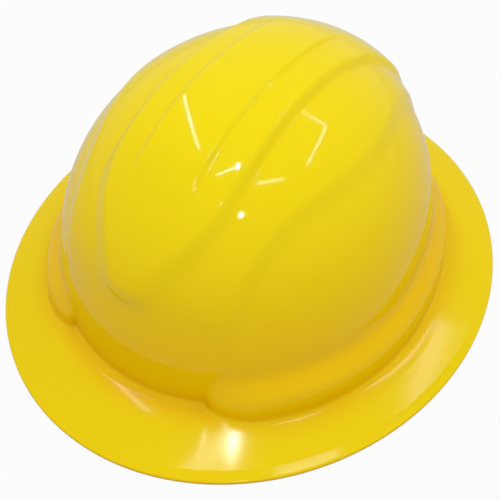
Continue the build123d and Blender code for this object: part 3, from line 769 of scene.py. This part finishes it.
band_plastic = moulded("grained_polyethylene", "#232529", "#2D3035", 0.5, 0.05, (0.40, 0.60), 1.51)
nylon = moulded("glass_filled_nylon", "#191A1C", "#26282B", 0.35, 0.04, (0.34, 0.52), 1.53)
acetal = moulded("moulded_acetal", "#D9D6CB", "#E6E3D9", 1.2, 0.01, (0.22, 0.34), 1.48)
knob_plastic = moulded("grained_abs", "#16171A", "#202226", 0.45, 0.05, (0.30, 0.46), 1.54)
rubber = moulded("thermoplastic_rubber", "#4A4E54", "#595E65", 0.3, 0.03, (0.62, 0.80), 1.49)

# %% [markdown]
# The screws are mild steel with a thin bright zinc coat.
# Zinc crystals make it slightly cloudy and leave a very fine dimpled grain.

# %% Zinc plated steel
zinc, tree = empty_material("zinc_plated_steel")
spots = add(tree, "ShaderNodeTexCoord").outputs["Object"]
crystals = add(tree, "ShaderNodeTexVoronoi", {"Scale": 1 / (0.5 * MM)}, {"Vector": spots})
cloud = add(tree, "ShaderNodeTexNoise", {"Scale": 1 / (1.4 * MM), "Detail": 4.0}, {"Vector": spots})
tint = add(tree, "ShaderNodeValToRGB", links={"Fac": cloud})
set_stops(tint, (0, "#9FA6AD"), (1, "#C9CDD1"))
finish_surface(tree, tint, crystals, (0.4, 0.01), cloud, (0.22, 0.42), {"Metallic": 1.0})
print("made", zinc.name)

# %% [markdown]
# Pieces whose engineering shape is already right keep it and only get their finish.
# Each material below is one entry, with the pieces that are made of it.

# %% Finish of the engineering pieces
node_finish = {
    band_plastic: ("headband", "nape_band"),
    nylon: (
        *(f"suspension_key_{place_name}" for place_name in key_turns),
        "nape_pivot_left", "nape_pivot_right", "ratchet_back_plate", "ratchet_cover",
    ),
    acetal: ("rack_tail_left", "rack_tail_right", "drive_pinion", "click_spring"),
    knob_plastic: ("ratchet_knob",),
    rubber: ("knob_grip",),
    zinc: ("cover_screws", "axle_screw"),
}
for material, names in node_finish.items():
    for name in names:
        node = nodes[name]
        if not node.material_slots:
            node.data.materials.append(material)
        for material_slot in node.material_slots:
            material_slot.material = material
        print(name, "is", material.name)

# %% [markdown]
# ## Crown straps
#
# Two straps of woven polyester webbing cross over the head and carry it clear of the shell.
# At each end the webbing goes down through the key's slot, round its bar, and comes back
# up against itself, where it is sewn with a boxed cross. The path is drawn in the strap's
# own upright plane and the flat section is carried along it.

# %% Webbing
webbing, tree = empty_material("woven_polyester_webbing")
along_cloth = add(tree, "ShaderNodeUVMap")
along_cloth.uv_map = "weave_mm"
split = add(tree, "ShaderNodeSeparateXYZ", links={0: along_cloth})
chevron_width, thread_pitch, rib_pitch = 2.25, 1.15, 0.75
zigzag = add(tree, "ShaderNodeMath", {1: chevron_width}, {0: split.outputs["X"]}, operation="PINGPONG")
slant = add(tree, "ShaderNodeMath", links={0: split.outputs["Y"], 1: zigzag}, operation="ADD")
waves = []
for run, pitch in ((slant, thread_pitch), (split.outputs["X"], rib_pitch)):
    phase = add(tree, "ShaderNodeMath", {1: 2 * math.pi / pitch}, {0: run}, operation="MULTIPLY")
    waves.append(add(tree, "ShaderNodeMath", links={0: phase}, operation="SINE"))
twill, rib = waves
threads = add(tree, "ShaderNodeMath", {1: 0.35}, {0: rib, 2: twill}, operation="MULTIPLY_ADD")
thread_share = add(
    tree, "ShaderNodeMapRange", {"From Min": -1.35, "From Max": 1.35}, {"Value": threads}
)
fuzz = add(
    tree, "ShaderNodeTexNoise", {"Scale": 1 / (0.4 * MM), "Detail": 3.0},
    {"Vector": add(tree, "ShaderNodeTexCoord").outputs["Object"]},
)
web_tone = add(tree, "ShaderNodeValToRGB", links={"Fac": thread_share})
set_stops(web_tone, (0, "#1C1E22"), (1, "#4B4F57"))
worn = add(
    tree, "ShaderNodeMix", {"Factor": 0.25}, {"A": web_tone, "B": fuzz.outputs["Color"]},
    data_type="RGBA", blend_type="SOFT_LIGHT",
)
finish_surface(
    tree, worn.outputs["Result"], thread_share, (0.9, 0.18), thread_share, (0.78, 0.60),
    {"Sheen Weight": 0.25, "Sheen Roughness": 0.4},
)
print("made", webbing.name)

# %% Strap path
strap_half_span, strap_spring, strap_top = 97.6, 45.0, 100.0
strap_lift = 2.2
strap_width, strap_thickness = 18.0, 1.5
loop_points, arch_points = 110, 150
# The free end comes up inside the upright part; the corners go round the key's bar.
loop_path = (
    (96.08, 46.7), (96.08, 43.0), (96.08, 39.8), (95.9, 38.3), (95.2, 37.95), (94.3, 37.95),
    (93.05, 37.95), (93.05, 36.7), (93.05, 34.4), (93.05, 33.05), (94.3, 33.05), (96.2, 33.05),
    (97.6, 33.05), (97.6, 34.6), (97.6, 38.0), (97.6, 42.0), (97.6, 45.0),
)


def strap_centre_line(lift):
    """Centre line of one strap in its own plane: (out from the crossing, height)."""
    loop = b_spline(np.array(loop_path)[None], np.linspace(0, 1, loop_points))[0]
    swing = np.linspace(0, math.pi, arch_points)[1:-1]
    rise = strap_top + lift - strap_spring
    arch = np.stack([strap_half_span * np.cos(swing), strap_spring + rise * np.sin(swing)], -1)
    return np.concatenate([loop, arch, loop[::-1] * (-1, 1)])


def web_section():
    """Cross-section of the webbing: (across, through), with rounded selvedges."""
    half, thick = strap_width / 2, strap_thickness / 2
    ends = np.radians(np.linspace(-90, 90, 7))
    flat = np.linspace(-1, 1, 13)[1:-1]
    right = np.stack([half - thick + thick * np.cos(ends), thick * np.sin(ends)], -1)
    top = np.stack([-flat * (half - thick), 0 * flat + thick], -1)
    return np.concatenate([right, top, -right, -top])


def write_weave(mesh, weave):
    """Gives a mesh the webbing's own coordinates in mm, one pair for each point."""
    layer = mesh.uv_layers.new(name="weave_mm")
    corner = np.zeros(len(mesh.loops), int)
    mesh.loops.foreach_get("vertex_index", corner)
    layer.data.foreach_set("uv", weave.reshape(-1, 2)[corner].ravel())


def crown_strap(name, turn_degrees, lift):
    """One strap: its flat section carried along the centre line."""
    world = key_frame(turn_degrees)
    line = strap_centre_line(lift)
    ahead = np.gradient(line, axis=0)
    ahead /= np.linalg.norm(ahead, axis=-1, keepdims=True)
    through = np.stack([-ahead[:, 1], ahead[:, 0]], -1)
    section = web_section()
    rows = np.zeros((len(line), len(section), 3))
    rows[..., ::2] = line[:, None] + through[:, None] * section[:, 1:]
    rows[..., 1] = section[:, 0]
    strap = grid_object(name, world(rows), webbing)
    run = np.concatenate([[0], np.cumsum(np.linalg.norm(np.diff(line, axis=0), axis=-1))])
    weave = np.zeros((*rows.shape[:2], 2))
    weave[..., 0] = section[:, 0] + strap_width
    weave[..., 1] = run[:, None]
    write_weave(strap.data, weave)
    print(name, "is", round(run[-1]), "mm long")
    return strap


strap_turns = {
    "crown_strap_left_to_right": (90 - strap_angle, 0.0),
    "crown_strap_right_to_left": (90 + strap_angle, strap_lift),
}
for node_name, (turn_degrees, lift) in strap_turns.items():
    strap = crown_strap("webbing_" + node_name, turn_degrees, lift)
    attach(strap, "shell_and_headband")
    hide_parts(node_name)

# %% [markdown]
# ## Stitches
#
# Sewing thread is round and pulled down into the cloth at both ends of every stitch.
# So each stitch is a short bent capsule whose ends sink into the webbing.

# %% Sewing thread
thread, tree = empty_material("bonded_polyester_thread")
spots = add(tree, "ShaderNodeTexCoord").outputs["Object"]
twist = add(
    tree, "ShaderNodeTexWave", {"Scale": 1 / (2.2 * MM), "Distortion": 1.5}, {"Vector": spots},
    bands_direction="DIAGONAL",
)
thread_tone = add(tree, "ShaderNodeValToRGB", links={"Fac": twist.outputs["Fac"]})
set_stops(thread_tone, (0, "#6E7278"), (1, "#A5A9AF"))
twist_bump = add(
    tree, "ShaderNodeBump", {"Strength": 0.6, "Distance": 0.06 * MM}, {"Height": twist.outputs["Fac"]}
)
thread_face = add(
    tree, "ShaderNodeBsdfPrincipled", {"Roughness": 0.5, "Sheen Weight": 0.15},
    {"Base Color": thread_tone, "Normal": twist_bump},
)
add(tree, "ShaderNodeOutputMaterial", links={"Surface": thread_face})

thread_radius, stitch_length, stitch_space = 0.32, 2.2, 0.6
thread_sides = 6
# Rings of one stitch: share of its run, lift over the cloth in mm, share of the thread's radius
stitch_ring_shares = (
    (0, -0.25, 0.5), (0.2, 0.1, 1), (0.5, 0.2, 1.05), (0.8, 0.1, 1), (1, -0.25, 0.5),
)


def stitches(name, seams):
    """One mesh of stitches; each seam is (start, end, outward) with points in mm."""
    points, faces = [], []
    sides, last_ring = thread_sides, len(stitch_ring_shares) - 1
    for start, end, outward in seams:
        start, end, outward = (np.asarray(v, float) for v in (start, end, outward))
        length = np.linalg.norm(end - start)
        count = max(1, round(length / (stitch_length + stitch_space)))
        along = (end - start) / length
        across = np.cross(along, outward)
        step = length / count
        for index in range(count):
            first = start + along * (index * step + stitch_space / 2)
            run = step - stitch_space
            base = len(points)
            for share, lift, fat in stitch_ring_shares:
                middle = first + along * run * share + outward * lift
                for side in range(sides):
                    angle = 2 * math.pi * side / sides
                    spoke = across * math.cos(angle) + outward * math.sin(angle)
                    points.append(middle + spoke * thread_radius * fat)
            for ring in range(last_ring):
                for side in range(sides):
                    nearby = (side + 1) % sides
                    a, b = base + ring * sides + side, base + ring * sides + nearby
                    faces.append((a, b, b + sides, a + sides))
            faces.append(tuple(base + s for s in range(sides))[::-1])
            faces.append(tuple(base + last_ring * sides + s for s in range(sides)))
    return new_piece(name, points, faces, thread, smooth=True)


box_low, box_high, box_half = 40.2, 45.6, 6.6
# How far out the two faces of the doubled webbing lie, and which way each one faces
cross_faces = ((98.35, 1), (95.33, -1))
for node_name, (turn_degrees, _) in strap_turns.items():
    seams = []
    for end_turn in (turn_degrees, turn_degrees + 180):
        world = key_frame(end_turn)
        outward = world([1, 0, 0]) - world([0, 0, 0])
        for face_reach, facing in cross_faces:
            sides = (-box_half, box_half, box_half, -box_half)
            levels = (box_low, box_low, box_high, box_high)
            box = [world([face_reach, side, up]) for side, up in zip(sides, levels)]
            pairs = [(0, 1), (1, 2), (2, 3), (3, 0), (0, 2), (1, 3)]
            seams += [(box[a], box[b], outward * facing) for a, b in pairs]
    boxed_cross = stitches("stitches_" + node_name, seams)
    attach(boxed_cross, "shell_and_headband")
print("stitched the strap ends")

# %% [markdown]
# ## Crown patch
#
# A square of the same webbing cloth is sewn over the crossing, so that the straps can't
# part on top of the head. Its edges are turned under, which makes a slightly thicker hem,
# and it bends down a little on both straps.

# %% Crown patch
patch_low, patch_half, patch_thickness = 103.05, 12.5, 1.2
patch_columns = 41
hem_width, hem_extra, hem_slope = 2.6, 0.22, 0.3
edge_round, edge_thin_share, under_lift = 0.7, 0.12, 0.1
seam_inset, seam_depth, seam_width, seam_drop = 0.8, 0.25, 0.35, 0.7


def patch_grids():
    """The upper and the lower face of a hemmed square with rounded edges, as grids of points."""
    across = np.linspace(-1, 1, patch_columns)
    x, y = np.meshgrid(across * patch_half, across * patch_half)
    drop = (strap_top - strap_spring) * (1 - np.sqrt(1 - (x**2 + y**2) / strap_half_span**2))
    inward = patch_half - np.maximum(np.abs(x), np.abs(y))
    edge = np.sqrt(np.clip(1 - (1 - np.clip(inward / edge_round, 0, 1)) ** 2, 0, 1))
    hem = hem_extra * (1 - soft_step(inward, hem_width - hem_slope, hem_width + hem_slope))
    sewn = seam_depth * np.exp(-(((inward - hem_width + seam_inset) / seam_width) ** 2))
    half = patch_thickness / 2 * (edge_thin_share + (1 - edge_thin_share) * edge)
    middle = patch_low + patch_thickness / 2 - drop
    top = np.stack([x, y + strap_cross_y, middle + half - hem_extra + hem - sewn], -1)
    under = np.stack([x, y + strap_cross_y, middle - half + under_lift], -1)
    return top, under


top, under = patch_grids()
index = np.arange(patch_columns**2).reshape(patch_columns, patch_columns)
quads = np.stack([index[:-1, :-1], index[:-1, 1:], index[1:, 1:], index[1:, :-1]], -1).reshape(-1, 4)
border = np.concatenate([index[0, :-1], index[:-1, -1], index[-1, :0:-1], index[:0:-1, 0]])
shift = patch_columns**2
skirt_quads = np.stack([border, border + shift, np.roll(border, -1) + shift, np.roll(border, -1)], -1)
patch_faces = [*quads.tolist(), *(quads[:, ::-1] + shift).tolist(), *skirt_quads.tolist()]
patch_points = np.concatenate([top.reshape(-1, 3), under.reshape(-1, 3)])
patch = new_piece("crown_patch_cloth", patch_points, patch_faces, webbing, smooth=True)
write_weave(patch.data, patch_points[:, :2] + 2 * patch_half)
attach(patch, "shell_and_headband")
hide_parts("crown_patch")
seam = patch_half - hem_width + seam_inset
seam_height = patch_low + patch_thickness - hem_extra - seam_drop
corners = [(-seam, -seam), (seam, -seam), (seam, seam), (-seam, seam)]
corners = [(x, y + strap_cross_y, seam_height) for x, y in corners]
patch_seams = [(corners[a], corners[(a + 1) % 4], (0, 0, 1)) for a in range(4)]
patch_stitches = stitches("stitches_crown_patch", patch_seams)
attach(patch_stitches, "shell_and_headband")
print("crown patch sewn on")

# %% [markdown]
# ## Pads
#
# The brow pad and the nape pad are soft foam in a brushed knit cover.
# A pad is sewn through in lines, and the foam swells between the lines.
# That swelling is what cloth simulation does well: the back and the seams are held, a
# little pressure inside blows the free cover out, and the result is kept as plain mesh.

# %% Knit cover
knit, tree = empty_material("brushed_knit_over_foam")
spots = add(tree, "ShaderNodeTexCoord").outputs["Object"]
loops = add(
    tree, "ShaderNodeTexVoronoi", {"Scale": 1 / (0.8 * MM), "Randomness": 0.35}, {"Vector": spots}
)
pile = add(tree, "ShaderNodeTexNoise", {"Scale": 1 / (0.25 * MM), "Detail": 4.0}, {"Vector": spots})
soil = add(tree, "ShaderNodeTexNoise", {"Scale": 1 / (12 * MM), "Detail": 3.0}, {"Vector": spots})
knit_height = add(tree, "ShaderNodeMix", {"Factor": 0.35}, {"A": loops, "B": pile}, data_type="FLOAT")
knit_tone = add(tree, "ShaderNodeValToRGB", links={"Fac": knit_height})
set_stops(knit_tone, (0.15, "#34373C"), (0.75, "#17181B"))
knit_shade = add(
    tree, "ShaderNodeMix", {"Factor": 0.3}, {"A": knit_tone, "B": soil.outputs["Color"]},
    data_type="RGBA", blend_type="SOFT_LIGHT",
)
finish_surface(
    tree, knit_shade.outputs["Result"], knit_height, (0.8, 0.25), soil, (0.82, 0.96),
    {"Sheen Weight": 0.5, "Sheen Roughness": 0.5}, invert=True,
)

# %% Pads
head_front_radius, head_front_y = 72.0, -33.0
head_rear_radius, head_rear_y = 78.0, 18.0


def brow_line(distance):
    """Head outline round the brow: points and outward directions at distances along it."""
    lean = math.asin((head_rear_radius - head_front_radius) / (head_rear_y - head_front_y))
    arc_end = head_front_radius * (math.pi / 2 - lean)
    swing = np.clip(distance, -arc_end, arc_end) / head_front_radius
    normal = np.stack([np.sin(swing), -np.cos(swing)], -1)
    past = np.abs(distance) - arc_end
    flank = np.stack([np.sign(distance) * math.sin(lean), 0 * swing + math.cos(lean)], -1)
    point = np.array([0, head_front_y]) + head_front_radius * normal
    return point + flank * np.maximum(past, 0)[:, None], normal


def nape_line(distance):
    """The head's rear circle: points and outward directions at distances along it."""
    swing = -distance / head_rear_radius
    normal = np.stack([np.sin(swing), np.cos(swing)], -1)
    return np.array([0, head_rear_y]) + head_rear_radius * normal, normal


cover_pressure, swelling_frames = 12, 20


def blow_up(pad, pinned):
    """Lets the free cover swell for some frames and keeps the result."""
    group = pad.vertex_groups.new(name="held")
    group.add([int(i) for i in np.flatnonzero(pinned)], 1.0, "REPLACE")
    cloth = pad.modifiers.new("swelling", "CLOTH")
    cloth.settings.vertex_group_mass = "held"
    cloth.settings.use_pressure = True
    cloth.settings.uniform_pressure_force = cover_pressure
    cloth.settings.effector_weights.gravity = 0
    cloth.settings.quality = 4
    cloth.settings.tension_stiffness = 8
    cloth.settings.compression_stiffness = 8
    cloth.settings.bending_stiffness = 0.3
    cloth.point_cache.frame_start, cloth.point_cache.frame_end = 1, swelling_frames
    for frame_number in range(1, swelling_frames + 1):
        scene.frame_set(frame_number)
    bake_modifiers(pad)
    pad.vertex_groups.clear()
    scene.frame_set(1)


# How a pad is drawn in at its ends, seams and hems: reaches in mm, and shares of its size
pad_spacing = 1.5
end_reach, end_depth_share, end_height_share = 3.0, 0.15, 0.72
seam_reach, seam_pull_share = 1.4, 0.62
hem_inset, hem_reach, hem_pull_share = 3.2, 1.2, 0.5
foam_share, corner_pull_share = 0.78, 0.5
held_seam, held_hem, held_end_share = 0.9, 0.8, 0.6
corner_from_share, back_side = 0.97, -0.9


def sewn_pad(name, line, half_length, low, high, back, front, seams):
    """A foam pad on a curved band: back and front are distances out from the line."""
    columns = int(2 * half_length / pad_spacing)
    distance = np.linspace(-half_length, half_length, columns)
    point, normal = line(distance)
    tall = high - low
    side = np.linspace(-1, 1, int(tall / pad_spacing))
    depth = np.linspace(-1, 1, 4)[1:-1]
    loop = np.concatenate([
        np.stack([side, 0 * side - 1], -1), np.stack([0 * depth + 1, depth], -1),
        np.stack([-side, 0 * side + 1], -1), np.stack([0 * depth - 1, -depth], -1),
    ])
    # Round the corners of the section, then thin it at the seams and at both ends.
    tight = 1 - corner_pull_share * (np.abs(loop[:, 0]) > corner_from_share) * (loop[:, 1] > -1)
    end = np.clip((half_length - np.abs(distance)) / end_reach, 0, 1)
    end = np.sqrt(1 - (1 - end) ** 2)
    seam_near = np.min(np.abs(distance[:, None] - np.array(seams)[None]), axis=1)
    drawn_in = 1 - seam_pull_share * np.exp(-((seam_near / seam_reach) ** 2))
    hem_near = np.abs(np.abs(loop[:, 0]) * tall / 2 - (tall / 2 - hem_inset))
    hem_in = 1 - hem_pull_share * np.exp(-((hem_near / hem_reach) ** 2))
    fullness = foam_share * drawn_in[:, None] * hem_in[None] * tight[None]
    depth_share = end_depth_share + (1 - end_depth_share) * end
    tall_share = end_height_share + (1 - end_height_share) * end
    share = (loop[None, :, 1] + 1) / 2 * fullness * depth_share[:, None]
    out = back + (front - back) * share
    up = (low + high) / 2 + loop[None, :, 0] * tall / 2 * tall_share[:, None]
    plan = point[:, None] + normal[:, None] * out[..., None]
    rows = np.concatenate([plan, up[..., None]], -1)
    pad = grid_object(name, rows, knit)
    on_back = np.broadcast_to(loop[None, :, 1] < back_side, rows.shape[:2])
    at_seam = np.broadcast_to((seam_near < held_seam)[:, None], rows.shape[:2])
    at_end = np.broadcast_to((end < held_end_share)[:, None], rows.shape[:2])
    at_hem = np.broadcast_to((hem_near < held_hem)[None], rows.shape[:2])
    blow_up(pad, (on_back | at_seam | at_end | at_hem).ravel())
    swollen = np.zeros(rows.size)
    pad.data.vertices.foreach_get("co", swollen)
    swollen = swollen.reshape(rows.shape) / MM
    print(name, "swelled by up to", round(float(np.abs(swollen - rows).max()), 2), "mm")
    # The cover can't pass the space that it has between band and head.
    plan = swollen[..., :2] - point[:, None]
    reach = (plan * normal[:, None]).sum(-1)
    kept = np.clip(reach, min(back, front), max(back, front))
    swollen[..., :2] += normal[:, None] * (kept - reach)[..., None]
    swollen[..., 2] = np.clip(swollen[..., 2], low, high)
    pad.data.vertices.foreach_set("co", (swollen * MM).ravel())
    pad.data.update()
    pad.data.shade_smooth()
    smooth = pad.modifiers.new("fine_cover", "SUBSURF")
    smooth.levels = smooth.render_levels = 1
    return pad


brow_pad = sewn_pad(
    "brow_pad_cover", brow_line, 127.5, 3.0, 31.5, -0.15, -4.1, (-96, -64, -32, 0, 32, 64, 96)
)
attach(brow_pad, "shell_and_headband")
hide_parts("brow_pad")
nape_pad = sewn_pad("nape_pad_cover", nape_line, 32.0, 3.5, 25.5, 1.05, -3.1, (-16, 0, 16))
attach(nape_pad, "nape")
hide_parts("nape_pad")
print("pads sewn")
